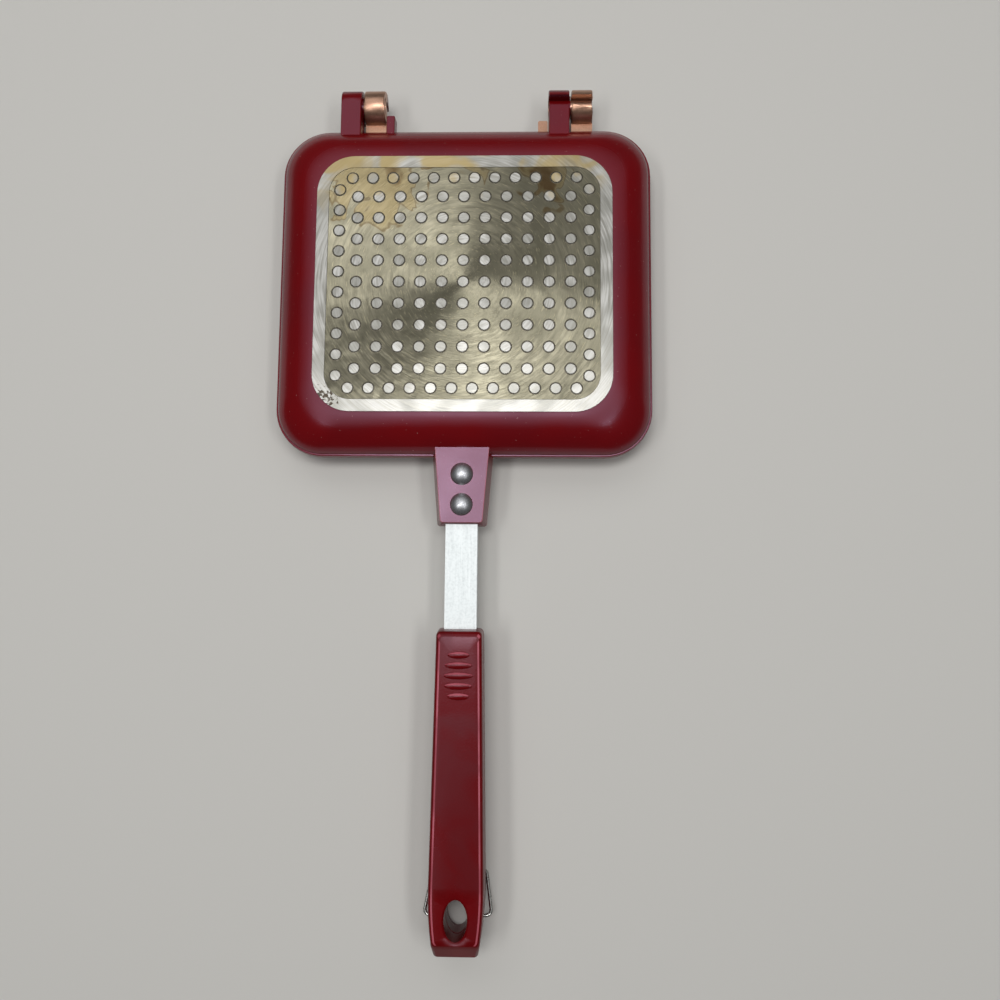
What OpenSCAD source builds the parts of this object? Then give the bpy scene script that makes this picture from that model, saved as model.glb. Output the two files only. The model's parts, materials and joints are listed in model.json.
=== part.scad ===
// Double pie iron: two identical cast pans, hinged at the back, with riveted
// handle bars, moulded grips and a wire bail that locks the grips together.
// X runs to the right, Y towards the hinge and Z up. The origin is the middle
// of the face that the lower pan stands on.

/* [Pan] */
// Width of a pan across its rim
pan_w = 176; // [168:1:190]
// Length of a pan, from its hinge side to its handle side
pan_l = 158.7; // [152:0.1:172]
// Corner radius of the rim, seen from above
rim_r = 22.5; // [19:0.5:26]
// Height of one half, from the parting plane to its machined base
half_h = 15.5; // [14.5:0.5:19]
// Thickness of the cast side wall
wall = 2.8; // [2.2:0.1:3.6]
// Thickness of the cooking floor
floor_t = 4.2; // [3.6:0.1:5]
// How far the lip stands out beyond the wall
lip_out = 1.1; // [0.8:0.1:2]
// Height of the lip above the parting plane
lip_h = 2.4; // [1.8:0.1:3.2]
// Roundness of the wall: 1 is a straight slope, 2 a full quarter round
wall_fullness = 1.6; // [1.3:0.1:2.2]
// Gap between the two rims when the iron is shut
rim_gap = 0.3; // [0.2:0.1:0.8]

/* [Base] */
// Width of the machined base
base_w = 137; // [128:1:142]
// Length of the machined base
base_l = 121; // [112:1:126]
// Corner radius of the machined base
base_r = 17.5; // [14:0.5:20]
// Height of the machined base above the end of the wall
base_step = 0.6; // [0.4:0.1:1]
// Width of the bare ring round the steel plate
ring_w = 5.5; // [4:0.5:8]
// Thickness of the steel plate
plate_t = 0.8; // [0.5:0.1:1.2]
// Depth of the plate's face below the machined ring
plate_sink = 0.15; // [0.1:0.05:0.3]
// Gap round the plate's edge and round each stud
plate_gap = 0.15; // [0.1:0.05:0.3]
// Diameter of the studs that come up through the plate
stud_d = 4.5; // [3.5:0.1:5.2]
// Stud spacing across the pan
stud_pitch_x = 9.87; // [9:0.05:12]
// Stud spacing along the pan
stud_pitch_y = 10.19; // [9:0.05:12]
// Stud spacing in the frame of studs round the grid
frame_pitch = 9.6; // [9:0.1:12]
// Distance from the plate's edge to the frame of studs
frame_inset = 5.2; // [4:0.1:7]
// Distance from the frame of studs to the grid inside it
frame_to_grid = 8.3; // [7:0.1:10]
// Length that each row of the frame stays clear of the plate's corner
corner_clear = 10.95; // [9:0.05:14]

/* [Hinge] */
// Distance from the rim to the hinge axis
hinge_out = 12.6; // [11.5:0.1:16]
// Radius of the hinge barrels
barrel_r = 8.1; // [7.2:0.1:8.6]
// Width of one hinge lug at the parting plane
lug_w = 10.2; // [8:0.1:13]
// Width that each side of a lug loses from the parting plane to its top
lug_draft = 0.3; // [0.1:0.05:0.6]
// Distance from the middle of the pan to the middle of an inner lug
inner_lug_x = 44.25; // [40:0.25:50]
// Side gap between neighbouring lugs
lug_gap = 0.8; // [0.5:0.1:1.5]
// Diameter of the bosses with which neighbouring lugs bear on each other
boss_d = 11; // [9.5:0.5:13]
// Gap between two bosses
boss_gap = 0.3; // [0.2:0.05:0.4]
// Diameter of the steel hinge pins
pin_d = 7; // [5.5:0.1:7.6]
// Radial running gap of a pin in the lug that turns on it
pin_play = 0.06; // [0.03:0.01:0.1]
// How far each edge of a lug's slot stands in front of the pin
slot_lip = 0.6; // [0.4:0.05:1]
// How far the slanted edge of an outer lug's slot leans to either side
slot_slant = 1.05; // [0.4:0.05:1.3]
// Distance that a pin stays inside its lugs at each end
pin_inset = 0.5; // [0.2:0.1:1]
// Width of the side stop next to the inner lug, at the parting plane
stop_w = 4.6; // [3:0.1:6]
// Gap between the side stop and the other half's inner lug
stop_gap = 0.3; // [0.2:0.05:0.8]
// Width that each side of the stop loses from the parting plane to its top
stop_draft = 0.35; // [0.1:0.05:0.6]
// Reach of the side stop beyond the rim
stop_out = 6.3; // [4.4:0.1:7]
// Height of the side stop above the parting plane
stop_h = 5.5; // [4:0.5:7]

/* [Handle bar] */
// Width of the flat bar
bar_w = 14.6; // [12:0.2:16]
// Thickness of the flat bar
bar_t = 3; // [2.4:0.1:3.6]
// Height of the bar's inner face above the parting plane
bar_lift = 1; // [0.9:0.1:1.4]
// Side gap of the bar in its channels
bar_gap = 0.15; // [0.1:0.05:0.3]
// Free length of the bar between bracket and grip
bar_show = 47.7; // [40:0.1:60]
// Length of the bar inside the grip
bar_in_grip = 54; // [48:1:70]

/* [Bracket] */
// Reach of the bracket beyond the rim
bracket_out = 30.8; // [29:0.1:36]
// Width of the bracket's top at the pan
bracket_w_far = 25.5; // [22:0.1:28]
// Width of the bracket's top at its free end
bracket_w_near = 19.4; // [19:0.1:22]
// Height of the bracket above the parting plane
bracket_h = 7.5; // [7:0.1:9]
// Width that each side gains from top to bottom
bracket_draft = 1.8; // [0.8:0.1:2.4]
// Distance from the rim to the bar's hidden end
bar_start = 2; // [1:0.1:3]
// Distance from the rim to the first rivet
rivet_first = 8.55; // [8:0.05:10]
// Distance between the two rivets
rivet_pitch = 14; // [12:0.5:15]
// Diameter of a rivet's domed head
rivet_head_d = 10.4; // [8:0.2:12]
// Height of a rivet's domed head
rivet_head_h = 2.5; // [1.8:0.1:3.5]
// Diameter of a rivet's shank
rivet_d = 5; // [4:0.5:6]
// Diameter of a rivet's closed end
rivet_tail_d = 7.6; // [6.8:0.2:9]
// Height of a rivet's closed end
rivet_tail_h = 0.6; // [0.4:0.1:0.7]

/* [Grip] */
// Length of a grip
grip_len = 141.4; // [130:0.2:155]
// Width of a grip at its front
grip_w_front = 20.9; // [19:0.1:22]
// Greatest width of a grip
grip_w = 24.7; // [23:0.1:25]
// Width of a grip at its end
grip_w_end = 19.3; // [16:0.1:21]
// Length of the end in which a grip narrows
grip_close = 28.6; // [24:0.2:34]
// Gap between a grip's inner face and the parting plane
grip_lift = 0.5; // [0.3:0.1:0.8]
// Height of a grip's back above the parting plane
grip_h = 12.4; // [11.8:0.1:12.6]
// Radius of a grip's long edges
grip_edge_r = 2; // [1.4:0.1:2.6]
// Corner radius of a grip, seen from above
grip_corner_r = 2.1; // [1.5:0.1:3.5]
// How far a grip's front leans back from its foot to its edge
front_lean = 0.9; // [0.4:0.1:1.4]
// Length of the slope at a grip's end
slope_len = 6.5; // [5.5:0.1:7.5]
// Height at which the slope starts
slope_from = 6.4; // [5.8:0.1:7]
// Width of the hanging hole
hole_w = 10.3; // [8:0.1:11.2]
// Length of the hanging hole
hole_l = 17.6; // [14:0.2:19]
// Distance from the grip's end to the middle of the hanging hole
hole_from_end = 16.6; // [15.8:0.1:18.4]
// Width of the chamfer round the hanging hole
hole_chamfer = 0.7; // [0.4:0.1:1]
// Distance from the grip's front to the first finger rib
rib_first = 11.7; // [9:0.1:14]
// Distance between finger ribs
rib_pitch = 4.5; // [4.2:0.05:5.5]
// Length of the longest finger rib
rib_len = 13; // [11:0.2:14]
// Height of a finger rib
rib_h = 0.9; // [0.5:0.1:1.3]
// Width of a finger rib at its foot
rib_foot = 3.2; // [2.4:0.1:4]
// Distance from the grip's front to the first fixing screw
screw_first = 13; // [10:0.5:18]
// Distance between the two fixing screws
screw_pitch = 30; // [24:1:34]
// Thread diameter of the fixing screws
screw_d = 4; // [3:0.5:4.5]
// Head diameter of the fixing screws
screw_head_d = 7.6; // [6.8:0.2:8.4]
// Length of the fixing screws
screw_len = 8.4; // [7:0.1:9]
// Outer diameter of the threaded inserts
insert_d = 6; // [5.6:0.1:7]
// Length of the threaded inserts
insert_len = 6; // [5:0.5:6.5]
// Radial gap between a screw and its insert
thread_play = 0.05; // [0.03:0.01:0.1]

/* [Latch bail] */
// Diameter of the bail's wire
wire_d = 1.6; // [1.4:0.1:1.8]
// Distance from the grip's end to the bail's pivot
pivot_from_end = 13.95; // [13.5:0.05:14.4]
// Distance of the pivot from the parting plane
pivot_depth = 5; // [4.8:0.1:5.2]
// Distance between the bail's two legs at the pivot
bail_w = 30.6; // [30.2:0.2:32]
// Distance between the bail's two legs at its cross bar
bail_w_far = 24.6; // [24.4:0.2:27]
// Distance from the pivot to the middle of the cross bar
bail_len = 19.7; // [19.6:0.05:19.8]
// Gap between the bail's cross bar and the table
bail_table_gap = 0.4; // [0.3:0.1:0.5]
// Inner radius of the bail's bends
bend_r = 1.6; // [1.2:0.1:2.2]
// Depth of the pivot holes in the grip's sides
pivot_hole_depth = 4.4; // [3.6:0.1:4.6]
// Radial gap of the wire in its pivot holes
pivot_play = 0.1; // [0.05:0.01:0.1]

/* [Hidden] */
$fn = 48;
eps = 0.01;   // overlap of cuts and thickness of loft slices
over = 1;     // run of a cut past a face
big = 40;     // reach of a cut that leaves the part

enamel = "firebrick";
steel = "silver";
bright = "gainsboro";
dark_steel = "dimgray";
brass = "goldenrod";

// Places along the handle and at the hinge, as Y
rim_y = pan_l / 2;
hinge_y = rim_y + hinge_out;
bracket_end_y = -rim_y - bracket_out;
bar_start_y = -rim_y - bar_start;
grip_y = bracket_end_y - bar_show;
grip_end_y = grip_y - grip_len;
bar_end_y = grip_y - bar_in_grip;
rivet_ys = [-rim_y - rivet_first, -rim_y - rivet_first - rivet_pitch];
screw_ys = [grip_y - screw_first, grip_y - screw_first - screw_pitch];
hole_y = grip_end_y + hole_from_end;
pivot_y = grip_end_y + pivot_from_end;

// Heights above the parting plane, within one half
rim_z = rim_gap / 2;
wall_top = half_h - base_step;
bar_top = bar_lift + bar_t;
plate_face = half_h - plate_sink;

// Plan sizes
shoulder = 0.8;                                  // ledge between wall and base
outer_lug_x = inner_lug_x + lug_w + lug_gap;
stop_x = inner_lug_x - lug_w / 2 - stop_gap - stop_w / 2;
boss_out = (lug_gap - boss_gap) / 2;             // height of a boss above its lug
plate_w = base_w - 2 * ring_w;
plate_l = base_l - 2 * ring_w;
plate_r = base_r - ring_w;
root_depth = 14;                                 // how far lugs reach into the wall
wall_steps = 9;
root_spread = 0.6;                               // extra half width at the bracket's root
ribs = 5;
rib_taper = 0.065;                               // share that a rib loses per place squared
screw_clear = 0.2;                               // radial gap of a screw in the bar
gate_mark = [1.9, 0.12, 14.4];                   // moulding gate: size, height, place from the hole

// Studs: a grid, and a frame of four rows round it
frame_x = plate_w / 2 - frame_inset;
frame_y = plate_l / 2 - frame_inset;
grid_nx = floor((frame_x - frame_to_grid) / stud_pitch_x);
grid_ny = floor((frame_y - frame_to_grid) / stud_pitch_y);
run_x = plate_w / 2 - corner_clear;
run_y = plate_l / 2 - corner_clear;
frame_nx = round(2 * run_x / frame_pitch);
frame_ny = round(2 * run_y / frame_pitch);
stud_places = concat(
    [for (i = [-grid_nx : grid_nx], j = [-grid_ny : grid_ny])
        [i * stud_pitch_x, j * stud_pitch_y]],
    [for (i = [0 : frame_nx], side = [-1, 1])
        [run_x * (2 * i / frame_nx - 1), side * frame_y]],
    [for (j = [0 : frame_ny], side = [-1, 1])
        [side * frame_x, run_y * (2 * j / frame_ny - 1)]]
);

// Bail: angle below the table plane at rest, and the slant of its legs
bail_z = half_h - pivot_depth;
bail_dip = asin((bail_z - bail_table_gap - wire_d / 2) / bail_len);
wire_r = wire_d / 2;
bend_mid = bend_r + wire_r;
wire_lap = 0.05;                                 // how far straights run into bends
leg_slant = atan((bail_w - bail_w_far) / 2 / bail_len);
leg_len = bail_len / cos(leg_slant);
near_cut = bend_mid * tan((90 + leg_slant) / 2);
far_cut = bend_mid * tan((90 - leg_slant) / 2);

function lerp(a, b, t) = a + (b - a) * t;

// ---------- shared shapes ----------

// Rectangle with round corners, w across and l along
module round_rect(w, l, r) {
    square([w - 2 * r, l], center = true);
    square([w, l - 2 * r], center = true);
    for (x = [-1, 1], y = [-1, 1])
        translate([x * (w / 2 - r), y * (l / 2 - r)]) circle(r);
}

// Thin slice of a loft at height z
module slice(z, w, l, r) {
    translate([0, 0, z]) linear_extrude(eps) round_rect(w, l, r);
}

// Loft along a part of a superellipse, from one rounded rectangle to another.
// A and B are [width, length, corner radius, height].
module dish(a, b) {
    hull() for (i = [0 : wall_steps]) {
        turn = 90 * i / wall_steps;
        t = 1 - pow(cos(turn), 2 / wall_fullness);
        rise = pow(sin(turn), 2 / wall_fullness);
        slice(lerp(a[3], b[3], rise) - eps,
              lerp(a[0], b[0], t), lerp(a[1], b[1], t), lerp(a[2], b[2], t));
    }
}

// Cylinder along X, centred on x
module x_rod(x, d, len) {
    translate([x - len / 2, 0, 0]) rotate([0, 90, 0]) cylinder(d = d, h = len);
}

// Puts a shape, drawn with the parting plane at z = 0, in the upper half
module in_upper() {
    translate([0, 0, half_h]) children();
}

// The same shape in the lower half: turned over about the handle's own axis
module in_lower() {
    translate([0, 0, half_h]) rotate([0, 180, 0]) children();
}

// ---------- pan ----------

module pan_wall() {
    dish([pan_w - 2 * lip_out, pan_l - 2 * lip_out, rim_r - lip_out, lip_h - 2 * eps],
         [base_w + 2 * shoulder, base_l + 2 * shoulder, base_r + shoulder, wall_top]);
}

// Lip slice at height z, drawn in all round
module lip_slice(z, inset) {
    slice(z, pan_w - 2 * inset, pan_l - 2 * inset, rim_r - inset);
}

module lip() {
    soft = 0.3;
    draft = 0.3;
    hull() {
        lip_slice(rim_z, soft);
        lip_slice(rim_z + soft, 0);
        lip_slice(lip_h - soft, draft);
        lip_slice(lip_h - eps, draft + soft);
    }
}

module cavity() {
    inset = 2 * (lip_out + wall);
    translate([0, 0, -eps])
        dish([pan_w - inset, pan_l - inset, rim_r - inset / 2, 0],
             [base_w - 2, base_l - 2, base_r - 1, half_h - floor_t]);
}

// Barrel of a lug, with its rims broken
module barrel() {
    soft = 0.8;
    rim = 0.3 * soft;
    translate([-lug_w / 2, 0, 0]) rotate([0, 90, 0]) rotate_extrude($fn = 96) polygon([
        [0, 0], [barrel_r - soft, 0], [barrel_r - rim, rim], [barrel_r, soft],
        [barrel_r, lug_w - soft], [barrel_r - rim, lug_w - rim],
        [barrel_r - soft, lug_w], [0, lug_w]
    ]);
}

// Arm and barrel of one hinge lug. Its sides draw in above and below the parting
// plane, and a low boss bears on the neighbouring lug.
module lug(x) {
    trim = 0.4;
    foot = lug_w / 2;
    waist = foot - eps;
    head = foot - lug_draft;
    edge = barrel_r - trim;
    tip = head - trim - over;
    tall = barrel_r + over;
    intersection() {
        union() {
            translate([x - foot, rim_y - root_depth, rim_z])
                cube([lug_w, hinge_out + root_depth, barrel_r - rim_z - 2 * eps]);
            translate([x, hinge_y, 0]) barrel();
        }
        translate([x, hinge_y + tall, 0]) rotate([90, 0, 0]) linear_extrude(big) polygon([
            [waist, 0], [head, edge], [tip, tall], [-tip, tall], [-head, edge],
            [-waist, 0], [-head, -edge], [-tip, -tall], [tip, -tall], [head, -edge]
        ]);
    }
    translate([0, hinge_y, 0]) x_rod(x + boss_out / 2, boss_d, lug_w + boss_out);
}

// Slot from the bore out to one side of the lug: side 1 is the outer side.
// The wall nearer the pan leans to either side by slant.
module lug_slot(x, side, slant) {
    half = pin_d / 2 - slot_lip;
    run = lug_w / 2 + over;
    translate([x, hinge_y, side > 0 ? 0 : -big]) linear_extrude(big)
        polygon([[-run, half], [run, half], [run, slant - half], [-run, -slant - half]]);
}

// Stop beside the inner lug, narrower towards its top
module side_stop() {
    soft = 0.3;
    corner = 0.8;
    foot = stop_w / 2;
    head = foot - stop_draft;
    tip = head - soft;
    low = rim_z + eps;
    reach = root_depth + stop_out;
    intersection() {
        translate([-stop_x, rim_y + stop_out, 0]) rotate([90, 0, 0]) linear_extrude(reach)
            polygon([
                [foot, low], [head, stop_h - soft], [tip, stop_h],
                [-tip, stop_h], [-head, stop_h - soft], [-foot, low]
            ]);
        translate([-stop_x, rim_y + stop_out - reach / 2, 0])
            linear_extrude(big) round_rect(stop_w, reach, corner);
    }
}

// One slice of the handle bracket, grown by g on either side and less at its free end
module bracket_slice(z, g) {
    r = 1.4;
    end_share = 0.7;
    far = -rim_y + root_depth;
    translate([0, 0, z]) linear_extrude(eps) hull() {
        for (s = [-1, 1]) {
            translate([s * (bracket_w_near / 2 + g - r), bracket_end_y + r - end_share * g])
                circle(r, $fn = 32);
            translate([s * (bracket_w_far / 2 + g + root_spread), far]) circle(eps, $fn = 8);
        }
    }
}

module bracket() {
    soft = 0.25;
    hull() {
        bracket_slice(rim_z, bracket_draft);
        bracket_slice(bracket_h - soft, 0);
        bracket_slice(bracket_h - eps, -soft);
    }
}

module bar_channel() {
    translate([-bar_w / 2 - bar_gap, bar_start_y - big, -eps])
        cube([bar_w + 2 * bar_gap, big + bar_gap, bar_top + eps]);
}

// Pocket for the steel plate, leaving the studs
module plate_pocket() {
    translate([0, 0, plate_face - plate_t])
        linear_extrude(big) difference() {
            round_rect(plate_w, plate_l, plate_r);
            for (p = stud_places) translate(p) circle(d = stud_d);
        }
}

module pan() {
    color(enamel) difference() {
        union() {
            pan_wall();
            lip();
            translate([0, 0, wall_top - shoulder])
                linear_extrude(half_h - wall_top + shoulder)
                    round_rect(base_w, base_l, base_r);
            lug(-outer_lug_x);
            lug(inner_lug_x);
            side_stop();
            bracket();
        }
        cavity();
        plate_pocket();
        bar_channel();
        for (y = rivet_ys) translate([0, y, 0]) cylinder(d = rivet_d, h = big);
        lug_slot(-outer_lug_x, -1, slot_slant);
        lug_slot(inner_lug_x, 1, 0);
        translate([0, hinge_y, 0]) {
            x_rod(-outer_lug_x, pin_d, lug_w + 3 * over);
            x_rod(inner_lug_x, pin_d + 2 * pin_play, lug_w + 3 * over);
        }
    }
}

module base_plate() {
    color(bright) translate([0, 0, plate_face - plate_t])
        linear_extrude(plate_t) difference() {
            round_rect(plate_w - 2 * plate_gap, plate_l - 2 * plate_gap, plate_r - plate_gap);
            for (p = stud_places) translate(p) circle(d = stud_d + 2 * plate_gap);
        }
}

// The pin is pressed into the outer lug and turns in the other half's inner lug
module hinge_pin() {
    len = 2 * lug_w + lug_gap - 2 * pin_inset;
    color(steel) translate([0, hinge_y, 0])
        x_rod(-(outer_lug_x + inner_lug_x) / 2, pin_d, len);
}

// ---------- handle ----------

module countersink(extra) {
    head_r = screw_head_d / 2 + extra;
    land = 0.3;
    deep = land + (screw_head_d - screw_d) / 2;
    rotate_extrude()
        polygon([[0, 0], [head_r, 0], [head_r, land], [screw_d / 2 + extra, deep], [0, deep]]);
}

module handle_bar() {
    end_r = 3;
    color(bright) difference() {
        translate([0, 0, bar_lift]) linear_extrude(bar_t) union() {
            translate([-bar_w / 2, bar_end_y + end_r])
                square([bar_w, bar_start_y - bar_end_y - end_r]);
            translate([-bar_w / 2 + end_r, bar_end_y])
                square([bar_w - 2 * end_r, end_r + over]);
            for (s = [-1, 1])
                translate([s * (bar_w / 2 - end_r), bar_end_y + end_r]) circle(end_r);
        }
        for (y = rivet_ys) translate([0, y, 0]) cylinder(d = rivet_d, h = big);
        for (y = screw_ys) translate([0, y, 0]) {
            cylinder(d = screw_d + 2 * screw_clear, h = big);
            translate([0, 0, bar_lift - eps]) countersink(screw_clear / 2);
        }
    }
}

// Rivet k: domed head on the bracket, shank through the bar, closed end below
module rivet(k) {
    dome_r = (pow(rivet_head_d / 2, 2) + pow(rivet_head_h, 2)) / (2 * rivet_head_h);
    color(dark_steel) translate([0, rivet_ys[k], 0]) {
        intersection() {
            translate([0, 0, bracket_h + rivet_head_h - dome_r]) sphere(dome_r, $fn = 96);
            translate([0, 0, bracket_h]) cylinder(d = rivet_head_d + over, h = big);
        }
        translate([0, 0, bar_lift - eps]) cylinder(d = rivet_d, h = bracket_h - bar_lift + 2 * eps);
        translate([0, 0, bar_lift - rivet_tail_h]) cylinder(d = rivet_tail_d, h = rivet_tail_h);
    }
}

// Half width of the grip at a distance s from its front
function grip_half(s) =
    let (belly = grip_len - grip_close, bow = 2.2, flare = 1.7)
    s < belly ? lerp(grip_w_front, grip_w, pow(max(s, 0) / belly, flare)) / 2
              : grip_w / 2 - (grip_w - grip_w_end) / 2 * pow((s - belly) / grip_close, bow);

// One side of the grip's plan outline, from front to end, drawn in by inset
function grip_side(inset, s_front, s_end) =
    let (r = grip_corner_r, n = 16,
         fx = grip_half(0) - inset - r, ex = grip_half(s_end - r) - inset - r,
         first = s_front + 1.5 * inset + r, last = s_end - r)
    concat(
        [for (a = [0 : 15 : 90]) [fx + r * sin(a), first - r * cos(a)]],
        [for (k = [1 : n - 1]) let (s = lerp(first, last, sqrt(k / n))) [grip_half(s) - inset, s]],
        [for (a = [0 : 15 : 90]) [ex + r * cos(a), last + r * sin(a)]]
    );

// Slice of the grip at height z: the front leans back, and above slope_from so
// does the end
module grip_slice(z, inset) {
    up = min(1, (z - grip_lift) / (grip_h - grip_edge_r - grip_lift));
    climb = max(0, z - slope_from) / (grip_h - slope_from);
    side = grip_side(inset, front_lean * up, grip_len - slope_len * climb);
    points = concat(side, [for (k = [len(side) - 1 : -1 : 0]) [-side[k][0], side[k][1]]]);
    translate([0, grip_y, z]) mirror([0, 1, 0]) linear_extrude(eps) polygon(points);
}

module grip_body() {
    r = grip_edge_r;
    foot = 0.5;
    draft = 0.2;
    hull() {
        grip_slice(grip_lift, foot);
        grip_slice(grip_lift + foot, 0);
        grip_slice(slope_from, draft / 2);
        for (a = [0 : 22.5 : 90])
            grip_slice(grip_h - r + r * sin(a) - eps, draft + r * (1 - cos(a)));
    }
}

// Finger rib k: a long bead, half sunk in the grip, shorter towards either end
module finger_rib(k) {
    chord = rib_len * (1 - rib_taper * pow(k - (ribs - 1) / 2, 2));
    translate([0, grip_y - rib_first - k * rib_pitch, grip_h - eps])
        scale([chord / 2, rib_foot / 2, rib_h]) sphere(1, $fn = 48);
}

function ellipse(w, l, n) = [for (k = [0 : n - 1]) [w / 2 * cos(360 * k / n), l / 2 * sin(360 * k / n)]];

module hang_hole() {
    translate([0, hole_y, -eps]) linear_extrude(big) polygon(ellipse(hole_w, hole_l, 40));
    translate([0, hole_y, grip_h - hole_chamfer])
        linear_extrude(2 * hole_chamfer, scale = 1 + 4 * hole_chamfer / hole_w)
            polygon(ellipse(hole_w, hole_l, 40));
}

module grip() {
    difference() {
        union() {
            grip_body();
            for (k = [0 : ribs - 1]) finger_rib(k);
            translate([0, hole_y + gate_mark[2], grip_h - over])
                cylinder(d = gate_mark[0], h = over + gate_mark[1]);
        }
        hang_hole();
        translate([-bar_w / 2 - bar_gap, bar_end_y - bar_gap, -eps])
            cube([bar_w + 2 * bar_gap, big + bar_in_grip, bar_top + eps]);
        for (y = screw_ys) translate([0, y, 0]) cylinder(d = insert_d, h = bar_top + insert_len);
    }
}

module pivot_holes() {
    reach = grip_half(grip_len - pivot_from_end) - pivot_hole_depth;
    for (s = [-1, 1])
        translate([s * reach, pivot_y, pivot_depth]) rotate([0, s * 90, 0])
            cylinder(d = wire_d + 2 * pivot_play, h = big);
}

module screw(k) {
    recess = [1, 4.2, 2.4];
    color(steel) translate([0, screw_ys[k], bar_lift]) difference() {
        union() {
            countersink(0);
            cylinder(d = screw_d, h = screw_len);
        }
        for (a = [0, 90]) rotate([0, 0, a]) cube(recess, center = true);
    }
}

module insert(k) {
    color(brass) translate([0, screw_ys[k], bar_top]) difference() {
        cylinder(d = insert_d, h = insert_len);
        translate([0, 0, -eps]) cylinder(d = screw_d + 2 * thread_play, h = insert_len + over);
    }
}

// ---------- latch bail ----------

// Bend of the wire round its own centre, from the +X side through an angle
module bend(angle) {
    rotate_extrude(angle = angle) translate([bend_mid, 0]) circle(wire_r);
}

// Straight wire along +Z, a hair thinner than the bends that its ends run into
module straight(len) {
    translate([0, 0, -wire_lap]) cylinder(r = wire_r - eps, h = len + 2 * wire_lap);
}

// Pivot, near bend, leg and far bend of one side: X across, Y away from the pivot
module bail_side() {
    pin_end = grip_half(grip_len - pivot_from_end) - pivot_hole_depth + 2 * pivot_play;
    translate([pin_end, 0, 0]) rotate([0, 90, 0]) straight(bail_w / 2 - near_cut - pin_end);
    translate([bail_w / 2 - near_cut, bend_mid, 0]) rotate([0, 0, -90]) bend(90 + leg_slant);
    translate([bail_w / 2, 0, 0]) rotate([0, 0, leg_slant]) {
        translate([0, near_cut, 0]) rotate([-90, 0, 0]) straight(leg_len - near_cut - far_cut);
        translate([-bend_mid, leg_len - far_cut, 0]) bend(90 - leg_slant);
    }
}

module bail_wire() {
    cross = bail_w_far - 2 * far_cut;
    bail_side();
    mirror([1, 0, 0]) bail_side();
    translate([-cross / 2, bail_len, 0]) rotate([0, 90, 0]) straight(cross);
}

module latch_bail() {
    color(steel) translate([0, pivot_y, bail_z]) rotate([-bail_dip, 0, 0]) bail_wire($fn = 32);
}

// ---------- nodes ----------

in_lower() pan();  // lower_pan
in_upper() pan();  // upper_pan
in_lower() base_plate();  // lower_base_plate
in_upper() base_plate();  // upper_base_plate
in_lower() handle_bar();  // lower_handle_bar
in_upper() handle_bar();  // upper_handle_bar
in_lower() rivet(0);  // lower_rivet_pan_side
in_lower() rivet(1);  // lower_rivet_grip_side
in_upper() rivet(0);  // upper_rivet_pan_side
in_upper() rivet(1);  // upper_rivet_grip_side
in_lower() color(enamel) difference() { grip(); pivot_holes(); }  // lower_grip
in_upper() color(enamel) grip();  // upper_grip
in_lower() screw(0);  // lower_screw_front
in_lower() screw(1);  // lower_screw_rear
in_upper() screw(0);  // upper_screw_front
in_upper() screw(1);  // upper_screw_rear
in_lower() insert(0);  // lower_insert_front
in_lower() insert(1);  // lower_insert_rear
in_upper() insert(0);  // upper_insert_front
in_upper() insert(1);  // upper_insert_rear
in_upper() hinge_pin();  // left_hinge_pin
in_lower() hinge_pin();  // right_hinge_pin
latch_bail();
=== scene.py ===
"""Looks of the double pie iron: its finishes, and the studio round it.

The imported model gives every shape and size, in metres: X runs to the right, Y towards the
hinge and Z up. Patterns are worked out in millimetres from Object coordinates.
"""

import json
import logging
import math
from dataclasses import dataclass, field
from enum import Enum
from typing import Any, Mapping, Sequence

import bmesh
import bpy
import numpy as np
from mathutils import Matrix


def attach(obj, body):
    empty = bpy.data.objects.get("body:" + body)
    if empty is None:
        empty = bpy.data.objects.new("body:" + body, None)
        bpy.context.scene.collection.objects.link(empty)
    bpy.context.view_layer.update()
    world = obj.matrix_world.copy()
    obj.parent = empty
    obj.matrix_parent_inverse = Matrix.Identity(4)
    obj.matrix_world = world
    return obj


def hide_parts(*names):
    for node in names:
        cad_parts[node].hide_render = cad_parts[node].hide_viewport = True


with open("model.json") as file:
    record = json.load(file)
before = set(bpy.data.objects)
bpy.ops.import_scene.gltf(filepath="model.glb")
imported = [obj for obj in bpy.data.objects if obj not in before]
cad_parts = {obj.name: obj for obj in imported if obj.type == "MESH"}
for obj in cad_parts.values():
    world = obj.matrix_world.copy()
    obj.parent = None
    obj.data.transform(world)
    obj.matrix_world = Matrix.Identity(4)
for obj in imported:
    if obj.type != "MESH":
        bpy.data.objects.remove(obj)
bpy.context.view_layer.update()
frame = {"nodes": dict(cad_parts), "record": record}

logging.basicConfig(level=logging.INFO, format="%(message)s")
log = logging.getLogger("pie_iron")

MM = 0.001
PARTING = float(frame["record"]["size"]["bbox_m"][2]) / 2 / MM  # height of the parting plane, mm
Socket = bpy.types.NodeSocket
Tree = bpy.types.NodeTree
Colour = tuple[float, float, float, float]
Place = tuple[float, float, float]
Pair = tuple[float, float]
Spots = tuple[Place, ...]  # x, y and reach of each pool of burnt fat, mm
COLOURS = {"out": 2, "data_type": "RGBA"}  # a Mix node that mixes colours


# ---------- small helpers ----------


def linear(code: str) -> Colour:
    """Turns an sRGB hex value such as "6A0B10" into a linear colour.

    Args:
        code: six hex digits.

    Returns:
        Red, green, blue and alpha, linear.
    """
    srgb = np.array([int(code[i : i + 2], 16) for i in (0, 2, 4)]) / 255
    low = srgb / 12.92
    high = ((srgb + 0.055) / 1.055) ** 2.4
    return (*np.where(srgb <= 0.04045, low, high).tolist(), 1.0)


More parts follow.
